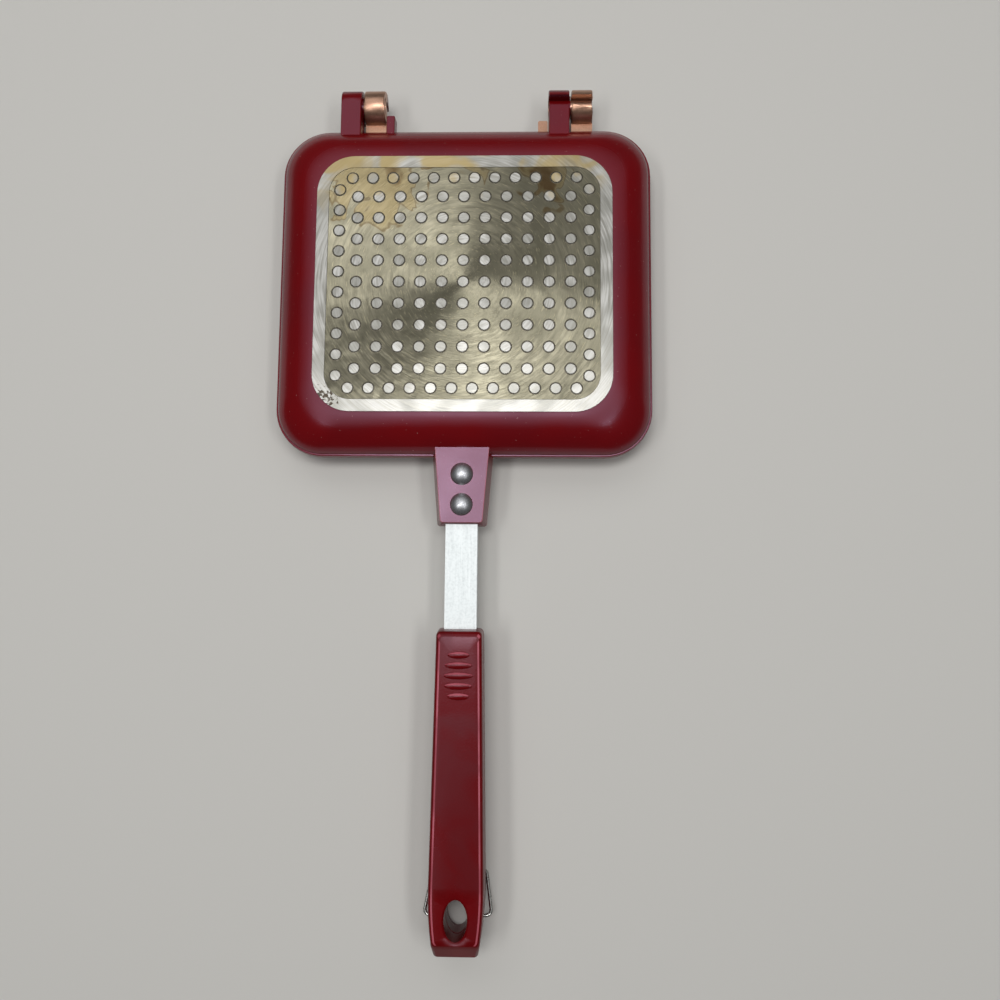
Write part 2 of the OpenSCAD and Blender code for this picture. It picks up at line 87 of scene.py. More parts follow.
def put(
    tree: Tree, kind: str, inputs: Mapping[Any, Any], out: Any = 0, **settings: Any
) -> Socket:
    """Adds a shader node with its settings, values and links.

    Args:
        tree: the node tree.
        kind: the node's type, without the "ShaderNode" in front.
        inputs: input name or number to a value, a hex colour, or the output linked to it.
        out: name or number of the output that is wanted.
        **settings: the node's own properties.

    Returns:
        The output.
    """
    node = tree.nodes.new("ShaderNode" + kind)
    for name, value in settings.items():
        setattr(node, name, value)
    for key, value in inputs.items():
        if isinstance(value, Socket):
            tree.links.new(value, node.inputs[key])
        else:
            node.inputs[key].default_value = linear(value) if isinstance(value, str) else value
    return node.outputs[out]


def millimetres(tree: Tree) -> Socket:
    """Object coordinates in millimetres."""
    place = put(tree, "TexCoord", {}, out="Object")
    return put(tree, "Mapping", {"Vector": place, "Scale": (1000, 1000, 1000)})


def mottle(
    tree: Tree,
    at: Socket,
    grain: float,
    low: float,
    high: float,
    ends: Pair = (0, 1),
    **more: float,
) -> Socket:
    """A share that comes and goes with noise, smoothly from one end to the other.

    Args:
        tree: the node tree.
        at: the coordinates.
        grain: size of a feature of the noise, in the coordinates' units.
        low: noise at which the share is the first of ends; noise lies about 0.3 to 0.7.
        high: noise at which it is the second.
        ends: the two values of the share.
        **more: other inputs of the noise, such as Distortion.

    Returns:
        The share.
    """
    values = {"Vector": at, "Scale": 1 / grain, "Detail": 2.0, **more}
    bounds = {0: put(tree, "TexNoise", values), 1: low, 2: high, 3: ends[0], 4: ends[1]}
    return put(tree, "MapRange", bounds, interpolation_type="SMOOTHSTEP")


def swirl(tree: Tree, at: Socket, turns: float, pitch: float) -> Socket:
    """Coordinates in which noise is drawn out into arcs round the pan's middle.

    The place (x, y) becomes turns * (x, y) / r across and r / pitch in depth, where r is the
    distance from the middle, so one feature of the noise is 1 / turns radian long.

    Args:
        tree: the node tree.
        at: coordinates in millimetres.
        turns: features to a radian.
        pitch: width of one arc in millimetres.

    Returns:
        The coordinates.
    """
    flat = put(tree, "Mapping", {"Vector": at, "Scale": (1, 1, 0)})
    away = put(tree, "VectorMath", {0: flat}, out="Value", operation="LENGTH")
    unit = put(tree, "VectorMath", {0: flat}, operation="NORMALIZE")
    around = put(tree, "VectorMath", {0: unit, "Scale": turns}, operation="SCALE")
    height = put(tree, "SeparateXYZ", {0: at}, out="Z")
    depth = put(tree, "Math", {0: away, 1: 1 / pitch, 2: height}, operation="MULTIPLY_ADD")
    return put(tree, "VectorMath", {0: around, 1: put(tree, "CombineXYZ", {"Z": depth})})


def pooled(tree: Tree, at: Socket, spots: Spots) -> Socket:
    """How far a place lies outside the nearest pool of burnt fat, in mm; negative inside.

    It is the distance in plan from the pool's middle, less its reach, and the edge is made
    ragged by slow noise of about 7 mm either way.

    Args:
        tree: the node tree.
        at: coordinates in millimetres.
        spots: x, y and reach of each pool in millimetres.

    Returns:
        The ragged distance.
    """
    flat = put(tree, "Mapping", {"Vector": at, "Scale": (1, 1, 0)})
    nearest: Any = 900.0  # mm, farther than any place on the iron
    for x, y, reach in spots:
        away = put(tree, "VectorMath", {0: flat, 1: (x, y, 0)}, out="Value", operation="DISTANCE")
        beyond = put(tree, "Math", {0: away, 1: reach}, operation="SUBTRACT")
        nearest = put(tree, "Math", {0: beyond, 1: nearest}, operation="MINIMUM")
    wander = mottle(tree, at, 15.0, 0.3, 0.7, (-9, 9), Distortion=0.9)
    return put(tree, "Math", {0: nearest, 1: wander})


# ---------- finishes ----------


@dataclass(frozen=True)
class Finish:
    """A material and how its surface was made.

    Attributes:
        name: the material's name.
        colour: base colour as sRGB hex.
        roughness: typical roughness of the surface.
        metallic: 1 for bare metal, 0 for paint and plastic.
        relief: height of the surface's grain in millimetres.
    """

    name: str
    colour: str
    roughness: float
    metallic: float = 0.0
    relief: float = 0.01

    def build(self) -> bpy.types.Material:
        """Makes the material, or finds it if a piece has it already."""
        made = bpy.data.materials.get(self.name)
        if made is None:
            made = bpy.data.materials.new(self.name)
            made.use_nodes = True
            tree = made.node_tree
            tree.nodes.clear()
            surface = put(tree, "BsdfPrincipled", {"Metallic": self.metallic})
            end = tree.nodes.new("ShaderNodeOutputMaterial")
            tree.links.new(surface, end.inputs["Surface"])
            self.paint(tree, surface.node, millimetres(tree))
        return made

    def paint(self, tree: Tree, surface: bpy.types.Node, at: Socket) -> None:
        """Links the finish's pattern to the surface shader.

        Args:
            tree: the material's node tree.
            surface: its Principled shader.
            at: coordinates in millimetres.
        """
        raise NotImplementedError

    def link(
        self, tree: Tree, surface: bpy.types.Node, colour: Socket, roughness: Socket, height: Socket
    ) -> None:
        """Links a pattern to the shader: colour, roughness, and height as a bump.

        Args:
            tree: the material's node tree.
            surface: its Principled shader.
            colour: base colour.
            roughness: roughness.
            height: 0 to 1, in shares of the relief.
        """
        ends = {"Height": height, "Distance": self.relief * MM, "Strength": 1.0}
        tree.links.new(colour, surface.inputs["Base Color"])
        tree.links.new(roughness, surface.inputs["Roughness"])
        tree.links.new(put(tree, "Bump", ends), surface.inputs["Normal"])

    def near(self, step: float) -> Pair:
        """Roughness from a little below the typical value to a little above it."""
        return (self.roughness - step, self.roughness + step)


@dataclass(frozen=True)
class Enamel(Finish):
    """Sprayed and baked silicone enamel: an even deep red under a soft gloss.

    To the eye it has a faint orange peel, a few light dust specks, slightly duller patches
    where it was wiped, and a margin beside the faced base that heat has dulled.
    """

    dull: str = "680609"
    peel: float = 1.6  # mm, real orange peel is about 1 mm and wouldn't show
    patch: float = 34.0
    margin: Pair = (12.6, 14.4)  # mm from the parting plane, where the dulling sets in
    scuff: float = 0.18  # how much rougher the margin is

    def paint(self, tree: Tree, surface: bpy.types.Node, at: Socket) -> None:
        """Red with slow patches, light specks and an orange peel."""
        surface.inputs["IOR"].default_value = 1.5
        surface.inputs["Specular Tint"].default_value = linear("ECD8FA")
        patches = mottle(tree, at, self.patch, 0.35, 0.65)
        deep = put(tree, "Mix", {0: patches, 6: self.colour, 7: self.dull}, **COLOURS)
        specks = mottle(tree, at, 0.9, 0.76, 0.8, (0, 0.45), Detail=1.0)
        dusty = put(tree, "Mix", {0: specks, 6: deep, 7: "B9908C"}, **COLOURS)
        dull = mottle(tree, at, self.patch, 0.3, 0.7, self.near(0.04))
        up = put(tree, "SeparateXYZ", {0: at}, out="Z")
        off = put(tree, "Math", {0: up, 1: PARTING}, operation="SUBTRACT")
        away = put(tree, "Math", {0: off}, operation="ABSOLUTE")
        rise = {0: away, 1: self.margin[0], 2: self.margin[1], 4: self.scuff}
        margin = put(tree, "MapRange", rise, interpolation_type="SMOOTHSTEP")
        dull = put(tree, "Math", {0: dull, 1: margin})
        peel = mottle(tree, at, self.peel, 0.2, 0.8, Detail=1.0)
        self.link(tree, surface, dusty, dull, peel)


@dataclass(frozen=True)
class CopperCoat(Finish):
    """Copper-coloured non-stick coat: bronze flake in a clear ceramic binder, baked.

    To the eye it is a warm metal with a satin sheen and a fine sparkle, never a mirror.
    """

    flake: float = 0.4  # mm, real flake is 0.05 mm and wouldn't show

    def paint(self, tree: Tree, surface: bpy.types.Node, at: Socket) -> None:
        """Copper with a sparkle of lighter and darker flake."""
        flakes = mottle(tree, at, self.flake, 0.3, 0.7, Detail=1.0)
        warm = put(tree, "Mix", {0: flakes, 6: "B08A74", 7: self.colour}, **COLOURS)
        cloud = mottle(tree, at, 14.0, 0.4, 0.7, (0, 0.35))
        toned = put(tree, "Mix", {0: cloud, 6: warm, 7: "A8755A"}, **COLOURS)
        sheen = mottle(tree, at, self.flake, 0.3, 0.7, self.near(0.07), Detail=1.0)
        self.link(tree, surface, toned, sheen, flakes)


@dataclass(frozen=True)
class MachinedAluminium(Finish):
    """Cast aluminium faced on a lathe and left bare: the ring and the studs of the base.

    To the eye it is bright, with arcs from the tool, some studs lighter than others,
    straw-coloured heat stains towards the hinge and burnt specks in one corner.
    """

    tool_pitch: float = 0.8  # mm, real feed is 0.2 mm and wouldn't show
    straw_pools: Spots = ((-54, 60, 18), (-8, 68, 18), (48, 66, 16))
    burnt_corner: Place = (-64, -56, 0)  # mm

    def paint(self, tree: Tree, surface: bpy.types.Node, at: Socket) -> None:
        """Bright metal with turning marks, stains and specks of burnt fat."""
        surface.inputs["Anisotropic"].default_value = 0.4
        surface.inputs["Anisotropic Rotation"].default_value = 0.25
        around = put(tree, "Tangent", {}, direction_type="RADIAL", axis="Z")
        tree.links.new(around, surface.inputs["Tangent"])
        arcs = swirl(tree, at, 5.0, self.tool_pitch)
        marks = mottle(tree, arcs, 1.0, 0.32, 0.68, Detail=3.0)
        turned = put(tree, "Mix", {0: marks, 6: "98968F", 7: self.colour}, **COLOURS)
        clouds = mottle(tree, at, 11.0, 0.36, 0.62, (0.6, 0), Detail=0.0)
        toned = put(tree, "Mix", {0: clouds, 6: turned, 7: "85847D"}, **COLOURS)
        pools = pooled(tree, at, self.straw_pools)
        share = {0: pools, 1: 9.0, 2: -9.0, 4: 0.8}
        straw = put(tree, "MapRange", share, interpolation_type="SMOOTHSTEP")
        warm = put(tree, "Mix", {0: straw, 6: toned, 7: "A5915F"}, **COLOURS)
        corner = put(tree, "Mapping", {"Vector": at, "Scale": (1, 1, 0)})
        ends = {0: corner, 1: self.burnt_corner}
        away = put(tree, "VectorMath", ends, "Value", operation="DISTANCE")
        near = put(tree, "MapRange", {0: away, 1: 3.0, 2: 15.0, 3: 0.36, 4: 0.0})
        grime = put(tree, "TexNoise", {"Vector": at, "Scale": 0.7, "Detail": 3.0})
        burnt = put(tree, "Math", {0: grime, 1: near})
        share = {0: burnt, 1: 0.8, 2: 0.88, 4: 0.9}
        black = put(tree, "MapRange", share, interpolation_type="SMOOTHSTEP")
        stained = put(tree, "Mix", {0: black, 6: warm, 7: "35291C"}, **COLOURS)
        rough = mottle(tree, arcs, 1.0, 0.3, 0.7, self.near(0.07), Detail=3.0)
        self.link(tree, surface, stained, rough, marks)


@dataclass(frozen=True)
class BrushedPlate(Finish):
    """Stainless steel disc, perforated, pressed into the base and brushed in a swirl.

    To the eye it is a grey metal gone straw-gold with heat. The fine arcs of the brush catch
    the light in a bow that turns round the middle, and burnt fat has left gold and brown
    clouds with a dark tide line near the hinge.
    """

    brush: float = 0.6  # mm, real scratches are 0.05 mm and wouldn't show
    slant: float = 0.158  # turn of the wide side of the gloss off the marks, in whole turns
    buckle: float = 0.15  # mm, slow hollows between the pressed studs
    gold_pools: Spots = ((-42, 58, 26), (4, 66, 13), (37, 54, 13))
    scorch_pools: Spots = ((-22, 57, 8), (34, 48, 7), (-52, 55, 3))

    def paint(self, tree: Tree, surface: bpy.types.Node, at: Socket) -> None:
        """Gold-grey steel with swirling scratches, painted glints along them, clouds and a tide
        line.
        """
        surface.inputs["Anisotropic"].default_value = 0.95
        surface.inputs["Anisotropic Rotation"].default_value = self.slant
        around = put(tree, "Tangent", {}, direction_type="RADIAL", axis="Z")
        tree.links.new(around, surface.inputs["Tangent"])
        fine = mottle(tree, swirl(tree, at, 9.0, self.brush), 1.0, 0.3, 0.7)
        broad = mottle(tree, swirl(tree, at, 3.5, 2.4 * self.brush), 1.0, 0.3, 0.7)
        clouds = mottle(tree, at, 26.0, 0.34, 0.64, Detail=3.0, Distortion=0.8)
        metal = put(tree, "Mix", {0: clouds, 6: "757261", 7: self.colour}, **COLOURS)
        worn = put(tree, "Mix", {0: broad, 6: "7D7968", 7: metal}, **COLOURS)
        # Painted highlight: pale glints mixed into the colour along the fine swirl.
        painted_glint = mottle(tree, swirl(tree, at, 9.0, self.brush), 1.0, 0.58, 0.72, (0, 0.4))
        bright = put(tree, "Mix", {0: painted_glint, 6: worn, 7: "CDC4A4"}, **COLOURS)
        pools = pooled(tree, at, self.gold_pools)
        share = {0: pools, 1: 3.0, 2: -3.0, 4: 0.42}
        wash = put(tree, "MapRange", share, interpolation_type="SMOOTHSTEP")
        gold = put(tree, "Mix", {0: wash, 6: bright, 7: "8D7743"}, **COLOURS)
        edge = put(tree, "Math", {0: pools}, operation="ABSOLUTE")
        share = {0: edge, 1: 1.3, 2: 0.2, 4: 0.5}
        tide = put(tree, "MapRange", share, interpolation_type="SMOOTHSTEP")
        lined = put(tree, "Mix", {0: tide, 6: gold, 7: "4F3B20"}, **COLOURS)
        deep = pooled(tree, at, self.scorch_pools)
        share = {0: deep, 1: 3.0, 2: -7.0, 4: 0.7}
        scorch = put(tree, "MapRange", share, interpolation_type="SMOOTHSTEP")
        brown = put(tree, "Mix", {0: scorch, 6: lined, 7: "4B3119"}, **COLOURS)
        rough = mottle(tree, swirl(tree, at, 9.0, self.brush), 1.0, 0.3, 0.7, self.near(0.08))
        buckle = mottle(tree, at, 13.0, 0.2, 0.8, (0, self.buckle / self.relief))
        height = put(tree, "Math", {0: fine, 1: buckle})
        self.link(tree, surface, brown, rough, height)


@dataclass(frozen=True)
class SatinBar(Finish):
    """Flat aluminium bar, drawn and satin anodised: near white, with faint lengthwise lines."""

    line: float = 0.5  # mm, real draw lines are finer and wouldn't show

    def paint(self, tree: Tree, surface: bpy.types.Node, at: Socket) -> None:
        """Pale metal with lines drawn out along the bar, and a slow mottle."""
        ends = {"Vector": at, "Scale": (1 / self.line, 0.04, 1 / self.line)}
        along = put(tree, "Mapping", ends)
        drawn = mottle(tree, along, 1.0, 0.1, 0.9)
        pale = put(tree, "Mix", {0: drawn, 6: "D6DADA", 7: self.colour}, **COLOURS)
        clouds = mottle(tree, at, 1.1, 0.4, 0.7, (0, 0.5))
        milky = put(tree, "Mix", {0: clouds, 6: pale, 7: "CDD2D2"}, **COLOURS)
        rough = mottle(tree, along, 1.0, 0.3, 0.7, self.near(0.04))
        self.link(tree, surface, milky, rough, drawn)


@dataclass(frozen=True)
class FormedSteel(Finish):
    """Small metal pieces, headed, drawn or ground: grey metal with fine pits and rubs."""

    grain: float = 0.6
    dark: str = "55565A"

    def paint(self, tree: Tree, surface: bpy.types.Node, at: Socket) -> None:
        """Grey metal with a fine mottle."""
        pits = mottle(tree, at, self.grain, 0.35, 0.65, Detail=3.0)
        grey = put(tree, "Mix", {0: pits, 6: self.dark, 7: self.colour}, **COLOURS)
        rough = mottle(tree, at, self.grain, 0.7, 0.3, self.near(0.06), Detail=3.0)
        self.link(tree, surface, grey, rough, pits)


@dataclass(frozen=True)
class Moulding(Finish):
    """Heat-proof phenolic moulding: the pan's red, with the mould's fine spark grain.

    To the eye it is a little duller than the enamel, lighter in fine rubs from fingers, with faint
    flow clouds.
    """

    dull: str = "5F0406"
    grain: float = 0.8  # mm, real spark grain is 0.2 mm and wouldn't show

    def paint(self, tree: Tree, surface: bpy.types.Node, at: Socket) -> None:
        """Red with flow clouds and a spark grain."""
        surface.inputs["IOR"].default_value = 1.38
        surface.inputs["Specular Tint"].default_value = linear("F2D4E6")
        flow = mottle(tree, at, 22.0, 0.35, 0.65, Distortion=0.7)
        red = put(tree, "Mix", {0: flow, 6: self.colour, 7: self.dull}, **COLOURS)
        rubs = mottle(tree, at, self.grain, 0.55, 0.75, (0, 0.06))
        rubs_and_painted_highlight = put(tree, "Mix", {0: rubs, 6: red, 7: "8A2A30"}, **COLOURS)
        rough = mottle(tree, at, 22.0, 0.3, 0.7, self.near(0.05), Distortion=0.7)
        self.link(tree, surface, rubs_and_painted_highlight, rough, mottle(tree, at, self.grain, 0.2, 0.8))


ENAMEL = Enamel("baked_red_enamel", "6F070A", 0.22, relief=0.005)
COPPER = CopperCoat("copper_nonstick_coat", "C49C85", 0.35, 0.9, 0.004)
BARE = MachinedAluminium("faced_cast_aluminium", "B7B6B2", 0.37, 1.0, 0.01)
PLATE = BrushedPlate("brushed_stainless_plate", "9B9682", 0.37, 1.0, 0.016)
# The punched edge is coloured dark as painted shade of the gap round each stud, so it shows as a
# thin dark ring.
PUNCHED_EDGE_SHADE = FormedSteel("punched_edge_painted_shade", "5C584E", 0.42, 1.0, 0.002, 0.5, "3F3B33")
BAR = SatinBar("satin_anodised_aluminium", "E9EEEE", 0.62, 1.0, 0.003)
RIVET = FormedSteel("headed_rivet_steel", "C6C7CA", 0.42, 1.0, 0.004, 0.6, "A2A3A7")
WIRE = FormedSteel("drawn_stainless_wire", "C6C6C2", 0.26, 1.0, 0.002, 0.5, "8F8F8C")
ZINC = FormedSteel("zinc_plated_screw_steel", "B9BCBC", 0.32, 1.0, 0.003, 0.5, "8C8F92")
BRASS = FormedSteel("turned_brass", "C9A35A", 0.3, 1.0, 0.003, 0.5, "94743A")
GRIP = Moulding("red_phenolic_moulding", "680407", 0.29, relief=0.01)
# Pale pink enamel, a painted highlight on the rounded top edges of the bracket.
BEVEL_HIGHLIGHT_ENAMEL = Enamel("enamel_painted_bevel_highlight", "DC98A2", 0.2, relief=0.003, dull="C47C88")
# Pale pink moulding, a painted highlight on the grip's top edges and the ribs' slopes towards the
# hinge.
GRIP_EDGE_HIGHLIGHT = Moulding("phenolic_painted_edge_highlight", "B45A66", 0.3, relief=0.005, dull="96404A")


# ---------- sub-assemblies ----------


class Half(Enum):
    """One of the two equal halves, and which way is out from the parting plane."""

    LOWER = -1
    UPPER = 1

    @property
    def body(self) -> str:
        """The body that the half rides on."""
        return self.name.lower()


def node_named(name: str) -> bpy.types.Object:
    """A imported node's object."""
    return frame["nodes"][name]


def coat_node(name: str, finish: Finish) -> None:
    """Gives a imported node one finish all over."""
    held = node_named(name).data.materials
    held.clear()
    held.append(finish.build())


def welded(name: str, cuts: Sequence[tuple[Place, Place]] = ()) -> bpy.types.Mesh:
    """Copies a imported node's triangles into a new mesh, joined where they meet.

    Args:
        name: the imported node.
        cuts: point in metres and normal of each plane at which faces are cut, so that a
            finish can end there.

    Returns:
        The new mesh.
    """
    source = node_named(name).data
    places = np.empty(len(source.vertices) * 3, np.float32)
    corners = np.empty(len(source.loops), np.int32)
    source.vertices.foreach_get("co", places)
    source.loops.foreach_get("vertex_index", corners)
    mesh = bpy.data.meshes.new(name + "_surface")
    mesh.from_pydata(places.reshape(-1, 3), [], corners.reshape(-1, 3))
    shape = bmesh.new()
    shape.from_mesh(mesh)
    bmesh.ops.remove_doubles(shape, verts=shape.verts, dist=0.002 * MM)
    for point, normal in cuts:
        parts = shape.verts[:] + shape.edges[:] + shape.faces[:]
        bmesh.ops.bisect_plane(shape, geom=parts, dist=1e-7, plane_co=point, plane_no=normal)
    shape.to_mesh(mesh)
    shape.free()
    return mesh


def soften(mesh: bpy.types.Mesh, crease: float) -> None:
    """Shades a mesh smooth but for edges sharper than a crease angle.

    Args:
        mesh: the mesh.
        crease: the angle in degrees.
    """
    mesh.polygons.foreach_set("use_smooth", np.ones(len(mesh.polygons), bool))
    mesh.set_sharp_from_angle(angle=math.radians(crease))


@dataclass
class Dressed:
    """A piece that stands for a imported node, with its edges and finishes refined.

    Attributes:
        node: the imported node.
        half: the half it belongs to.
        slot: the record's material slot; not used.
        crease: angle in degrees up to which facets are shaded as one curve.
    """

    node: str
    half: Half
    slot: str
    crease: float = 30.0

    def finishes(self) -> Sequence[Finish]:
        """The piece's finishes, in the order of its material slots."""
        raise NotImplementedError

    def choose(self, centre: np.ndarray, normal: np.ndarray) -> np.ndarray:
        """Number of each face's finish.

        Args:
            centre: face centres in mm, heights counted outwards from the parting plane.
            normal: face normals, turned the same way.

        Returns:
            One number a face.
        """
        return np.zeros(len(centre), np.int32)

    def make(self) -> bpy.types.Object:
        """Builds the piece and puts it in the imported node's place."""
        mesh = welded(self.node, self.cuts())
        soften(mesh, self.crease)
        for finish in self.finishes():
            mesh.materials.append(finish.build())
        centre = np.empty(len(mesh.polygons) * 3, np.float32)
        normal = np.empty(len(mesh.polygons) * 3, np.float32)
        mesh.polygons.foreach_get("center", centre)
        mesh.polygons.foreach_get("normal", normal)
        centre = centre.reshape(-1, 3) / MM - (0, 0, PARTING)
        centre[:, 2] *= self.half.value
        normal = normal.reshape(-1, 3) * (1, 1, self.half.value)
        picked = self.choose(centre, normal).astype(np.int32)
        mesh.polygons.foreach_set("material_index", picked)
        piece = bpy.data.objects.new(self.node + "_dressed", mesh)
        bpy.context.scene.collection.objects.link(piece)
        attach(piece, self.half.body)
        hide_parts(self.node)
        log.info("%s: %d faces, finishes %s", piece.name, len(picked), np.bincount(picked))
        return piece

    def cuts(self) -> Sequence[tuple[Place, Place]]:
        """Point in metres and normal of each plane at which the mesh is cut."""
        return ()


@dataclass
class Pan(Dressed):
    """A cast half: enamel outside, copper coat inside, bare metal where it was machined, and pale
    enamel on the bracket's top bevels as a painted highlight.

    Attributes:
        base_height: height of the machined base above the parting plane, mm.
        pocket: depth from the base at which the plate's pocket ends, mm.
        inner: half width and half length of the area that holds the studs, mm.
        rim_end: where the rim ends and the handle's bracket stands free, mm.
        bevel_low: share of the base's height above which the bracket's top bevels lie.
        bevel_tilt: least and greatest Z of a normal on those bevels.
    """

    base_height: float = PARTING
    pocket: float = 1.2
    inner: Pair = (63.1, 55.1)
    rim_end: float = -79.5
    bevel_low: float = 0.35
    bevel_tilt: Pair = (0.4, 0.985)

    def finishes(self) -> Sequence[Finish]:
        """Enamel, copper coat, bare metal, and pale enamel as a painted highlight."""
        return ENAMEL, COPPER, BARE, BEVEL_HIGHLIGHT_ENAMEL

    def cuts(self) -> Sequence[tuple[Place, Place]]:
        """The parting plane, where the inside's coat ends on the lugs."""
        return (((0, 0, PARTING * MM), (0, 0, 1)),)

    def choose(self, centre: np.ndarray, normal: np.ndarray) -> np.ndarray:
        """Copper inside and past the parting plane, bare base, painted highlight on the bracket's
        top bevels.
        """
        inside = (normal[:, 2] < -0.02) | (centre[:, 2] < 0)
        top = centre[:, 2] > self.base_height - 0.05
        in_pocket = (np.abs(centre[:, 0]) < self.inner[0]) & (np.abs(centre[:, 1]) < self.inner[1])
        bare = (top & (normal[:, 2] > 0.9)) | (
            in_pocket & (centre[:, 2] > self.base_height - self.pocket)
        )
        high = centre[:, 2] > self.bevel_low * self.base_height
        tilted = (normal[:, 2] > self.bevel_tilt[0]) & (normal[:, 2] < self.bevel_tilt[1])
        # The bracket's top bevels take the pale enamel: a painted highlight where the rounded edges
        # catch the light.
        rubs_and_painted_highlight = (centre[:, 1] < self.rim_end) & high & tilted
        return np.select([bare, inside, rubs_and_painted_highlight], [2, 1, 3], 0)


@dataclass
class Grip(Dressed):
    """A moulded grip with finger ribs and a hanging hole, with a painted highlight along its top
    edges and on the ribs' slopes towards the hinge.

    Attributes:
        ribs: where the finger ribs begin and end along the grip, mm.
        rib_half: half width of the strip that holds them, mm.
        turn: least and greatest Z of a normal where the top turns over.
        sideways: least X of a normal, either way, on the long edges.
        slope: least Y and least Z of a normal on a rib's slope towards the hinge.
    """

    ribs: Pair = (-190.0, -162.0)
    rib_half: float = 8.5
    turn: Pair = (0.9, 0.982)
    sideways: float = 0.15
    slope: Pair = (0.2, 0.6)

    def finishes(self) -> Sequence[Finish]:
        """The moulding, and a pale moulding as a painted highlight."""
        return GRIP, GRIP_EDGE_HIGHLIGHT

    def choose(self, centre: np.ndarray, normal: np.ndarray) -> np.ndarray:
        """Painted highlight where the top turns over into the sides, and on each rib's far slope.
        """
        # Faces where the top turns over, and the ribs' slopes towards the hinge, take the pale
        # moulding as a painted highlight.
        turning = (normal[:, 2] > self.turn[0]) & (normal[:, 2] < self.turn[1])
        edge = turning & (np.abs(normal[:, 0]) > self.sideways)
        along = (centre[:, 1] > self.ribs[0]) & (centre[:, 1] < self.ribs[1])
        ribbed = along & (np.abs(centre[:, 0]) < self.rib_half)
        slope = ribbed & (normal[:, 1] > self.slope[0]) & (normal[:, 2] > self.slope[1])
        return ((edge & ~ribbed) | slope).astype(np.int32)


@dataclass
class HingePin(Dressed):
    """A pin sprayed over with its lugs: enamel in the red lug, copper coat in the other.

    Attributes:
        change: distance from the iron's middle at which the colour changes, mm.
    """

    change: float = 49.8

    def finishes(self) -> Sequence[Finish]:
        """Enamel and copper coat."""
        return ENAMEL, COPPER

    def cuts(self) -> Sequence[tuple[Place, Place]]:
        """The two planes between the lugs."""
        return tuple(((side * self.change * MM, 0, 0), (1, 0, 0)) for side in (-1, 1))

    def choose(self, centre: np.ndarray, normal: np.ndarray) -> np.ndarray:
        """Copper coat outside the change, or inside it on the half whose lugs are there."""
        outer = np.abs(centre[:, 0]) > self.change
        left = centre[:, 0] < 0
        return (outer != left).astype(np.int32)


@dataclass
class HoleRims:
    """The raised rims of the holes that the studs come up through, punched into the plate and
    painted dark as the shade in the gap round each stud.

    Attributes:
        half: the half it belongs to.
        grid: studs to each side of the middle one, across and along.
        pitch: their spacing in mm.
        frame_half: half width and half length of the frame of studs round the grid, mm.
        run_half: half length of its rows, mm.
        run_count: studs in a row of the frame, across and along.
        face: height of the plate's face above the parting plane, mm.
        profile: radius and height above the face of each point of a rim's section, mm.
        around: faces round one rim.
        depths: least and greatest share of the section's height that a rim has.
        seed: seed of the draw of those shares.
    """

    half: Half
    grid: tuple[int, int] = (5, 4)
    pitch: Pair = (9.87, 10.19)
    frame_half: Pair = (57.8, 49.8)
    run_half: Pair = (52.05, 44.05)
    run_count: tuple[int, int] = (12, 10)
    face: float = 15.35
    profile: tuple[Pair, ...] = ((3.02, -0.01), (2.72, 0.06), (2.45, 0.09), (2.41, -0.02))
    around: int = 18
    depths: Pair = (0.3, 1.0)
    seed: int = 5

    def middles(self) -> np.ndarray:
        """Middle of each hole in mm: the grid's places and the four rows round it."""
        across, along = (np.arange(-n, n + 1) * p for n, p in zip(self.grid, self.pitch))
        inner = np.stack(np.meshgrid(across, along), -1).reshape(-1, 2)
        row, column = (np.linspace(-h, h, n) for h, n in zip(self.run_half, self.run_count))
        ends = [np.stack([row, np.full_like(row, s * self.frame_half[1])], -1) for s in (-1, 1)]
        sides = [
            np.stack([np.full_like(column, s * self.frame_half[0]), column], -1) for s in (-1, 1)
        ]
        return np.concatenate([inner, *ends, *sides])

    def make(self) -> bpy.types.Object:
        """Builds all rims of one plate.

        A point of a rim is the hole's middle plus its section's radius turned by the angle,
        and its height is the section's, times a share that differs from hole to hole. Sections
        run inwards and angles anticlockwise, so faces look outwards.
        """
        middles = self.middles()
        depth = np.random.default_rng(self.seed).uniform(*self.depths, len(middles))
        angle = np.arange(self.around) * 2 * np.pi / self.around
        radius, height = np.array(self.profile).T
        turned = np.stack([np.cos(angle), np.sin(angle)], -1)
        plan = middles[:, None, None] + radius[None, :, None, None] * turned[None, None]
        level = self.face + height[None, :, None] * depth[:, None, None]
        level = np.broadcast_to(level, plan.shape[:3])[..., None] * self.half.value + PARTING
        corners = np.concatenate([plan, level], -1).reshape(-1, 3) * MM
        number = np.arange(len(corners)).reshape(plan.shape[:3])
        outer, inner = number[:, :-1], number[:, 1:]
        quads = np.stack([outer, np.roll(outer, -1, 2), np.roll(inner, -1, 2), inner], -1)
        quads = quads.reshape(-1, 4)[:, :: self.half.value]
        mesh = bpy.data.meshes.new(f"{self.half.body}_hole_rims")
        mesh.from_pydata(corners, [], quads)
        mesh.polygons.foreach_set("use_smooth", np.ones(len(quads), bool))
        # The rims take the dark finish: painted shade of the gap round each stud.
        mesh.materials.append(PUNCHED_EDGE_SHADE.build())
        piece = bpy.data.objects.new(mesh.name, mesh)
        bpy.context.scene.collection.objects.link(piece)
        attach(piece, self.half.body)
        log.info("%s: %d rims, %d faces", piece.name, len(middles), len(quads))
        return piece


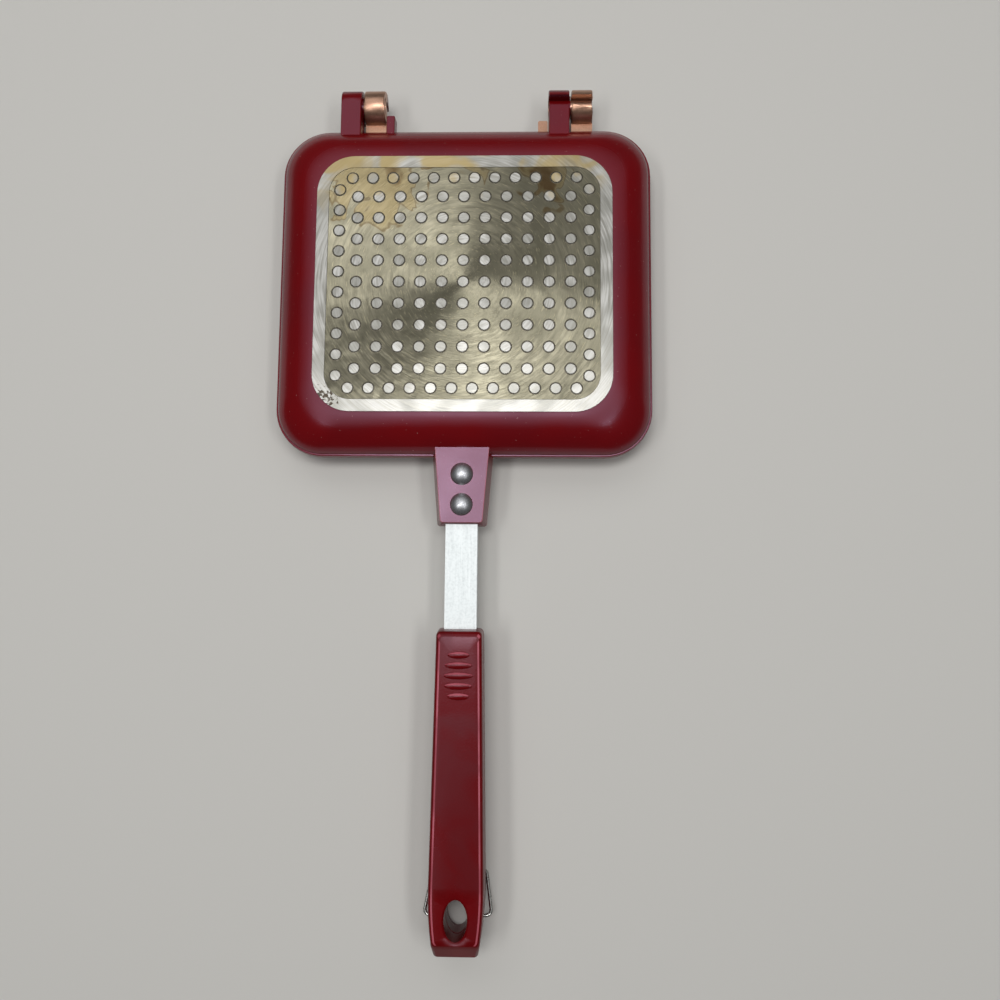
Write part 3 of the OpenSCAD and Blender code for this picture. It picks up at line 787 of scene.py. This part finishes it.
@dataclass
class Handle:
    """Bar, rivets, screws and inserts of one half, as packed, with their finishes."""

    half: Half
    plan: Mapping[str, Finish] = field(
        default_factory=lambda: {
            "handle_bar": BAR,
            "rivet_pan_side": RIVET,
            "rivet_grip_side": RIVET,
            "screw_front": ZINC,
            "screw_rear": ZINC,
            "insert_front": BRASS,
            "insert_rear": BRASS,
            "base_plate": PLATE,
        }
    )

    def dress(self) -> None:
        """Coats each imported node."""
        for name, finish in self.plan.items():
            coat_node(f"{self.half.body}_{name}", finish)
            log.info("%s_%s: %s", self.half.body, name, finish.name)


# ---------- studio ----------


@dataclass(frozen=True)
class Lamp:
    """A soft rectangular lamp that faces straight down and isn't seen itself.

    Attributes:
        name: the lamp's name.
        at: its place in metres.
        size: its width and length in metres.
        radiance: brightness of its face, where 1 is white.
    """

    name: str
    at: Place
    size: Pair
    radiance: float

    def hang(self) -> None:
        """Adds the lamp. Its power is pi times radiance times area."""
        light = bpy.data.lights.new(self.name, "AREA")
        light.shape = "RECTANGLE"
        light.size, light.size_y = self.size
        light.energy = math.pi * self.radiance * self.size[0] * self.size[1]
        piece = bpy.data.objects.new(self.name, light)
        bpy.context.scene.collection.objects.link(piece)
        piece.location = self.at
        piece.visible_camera = False


LAMPS = (
    Lamp("ceiling", (0.0, 0.25, 1.31), (2.6, 0.6), 0.3),
    Lamp("rear_ceiling", (0.0, 1.1, 1.31), (2.6, 1.1), 0.6),
    Lamp("window", (-0.45, 1.1, 1.3), (0.9, 1.1), 0.6),
    Lamp("key_lamp", (-0.12, 0.015, 1.3), (0.36, 0.33), 11.5),
    Lamp("right_lamp", (0.2, 0.1, 1.3), (0.25, 0.25), 8.0),
    Lamp("left_strip", (-0.6, -0.3, 1.3), (0.2, 0.7), 8.0),
    Lamp("right_strip", (0.6, -0.3, 1.3), (0.2, 0.7), 8.0),
)


@dataclass
class Studio:
    """Plain pale floor, soft light from above, and the camera of the photograph.

    Attributes:
        floor_colour: the floor's sRGB hex.
        lens: focal length in mm on a 36 mm sensor.
        stand: the camera's place in metres.
        right: the camera's axis to the right of the picture.
        up: its axis to the top of the picture.
        world: the room's sRGB hex.
        glow: the room's brightness.
    """

    floor_colour: str = "CFCDC8"
    lens: float = 33.91
    stand: Place = (0.02976, -0.1466, 0.44885)
    right: Place = (0.99958313, 0.00861717, -0.02755551)
    up: Place = (-0.00555536, 0.99399117, 0.10931926)
    world: str = "B4B6B8"
    glow: float = 0.14

    def floor(self) -> None:
        """A square of pale matt floor, four metres wide, just under the iron."""
        side = 2.0
        mesh = bpy.data.meshes.new("floor")
        corners = np.array([[-1, -1, 0], [1, -1, 0], [1, 1, 0], [-1, 1, 0]]) * side
        mesh.from_pydata(corners - (0, 0, 0.0001), [], [[0, 1, 2, 3]])
        piece = bpy.data.objects.new("floor", mesh)
        bpy.context.scene.collection.objects.link(piece)
        matt = bpy.data.materials.new("floor_paint")
        matt.use_nodes = True
        surface = matt.node_tree.nodes["Principled BSDF"]
        surface.inputs["Base Color"].default_value = linear(self.floor_colour)
        surface.inputs["Roughness"].default_value = 0.9
        mesh.materials.append(matt)

    def sky(self) -> None:
        """An even grey world."""
        world = bpy.data.worlds.new("room")
        world.use_nodes = True
        world.node_tree.nodes["Background"].inputs[0].default_value = linear(self.world)
        world.node_tree.nodes["Background"].inputs[1].default_value = self.glow
        bpy.context.scene.world = world

    def camera(self) -> None:
        """The camera, from its three axes and its place."""
        data = bpy.data.cameras.new("camera")
        data.lens, data.sensor_width = self.lens, 36.0
        data.clip_start, data.clip_end = 0.01, 20
        piece = bpy.data.objects.new("camera", data)
        bpy.context.scene.collection.objects.link(piece)
        right, up = np.array(self.right), np.array(self.up)
        turn = np.eye(4)
        turn[:3, :3] = np.column_stack([right, up, np.cross(right, up)])
        turn[:3, 3] = self.stand
        piece.matrix_world = Matrix(turn.tolist())
        bpy.context.scene.camera = piece

    def build(self) -> None:
        """Makes the whole studio."""
        self.camera()
        self.floor()
        self.sky()
        for lamp in LAMPS:
            lamp.hang()
        bpy.context.scene.view_settings.view_transform = "Standard"


def main() -> None:
    """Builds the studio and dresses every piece."""
    Studio().build()
    for half in Half:
        Pan(f"{half.body}_pan", half, "pan_enamel").make()
        Grip(f"{half.body}_grip", half, "grip_moulding", crease=40.0).make()
        Handle(half).dress()
        HoleRims(half).make()
    HingePin("left_hinge_pin", Half.UPPER, "pin_steel").make()
    HingePin("right_hinge_pin", Half.LOWER, "pin_steel").make()
    coat_node("latch_bail", WIRE)
    log.info("boxes written")


if __name__ == "__main__":
    main()
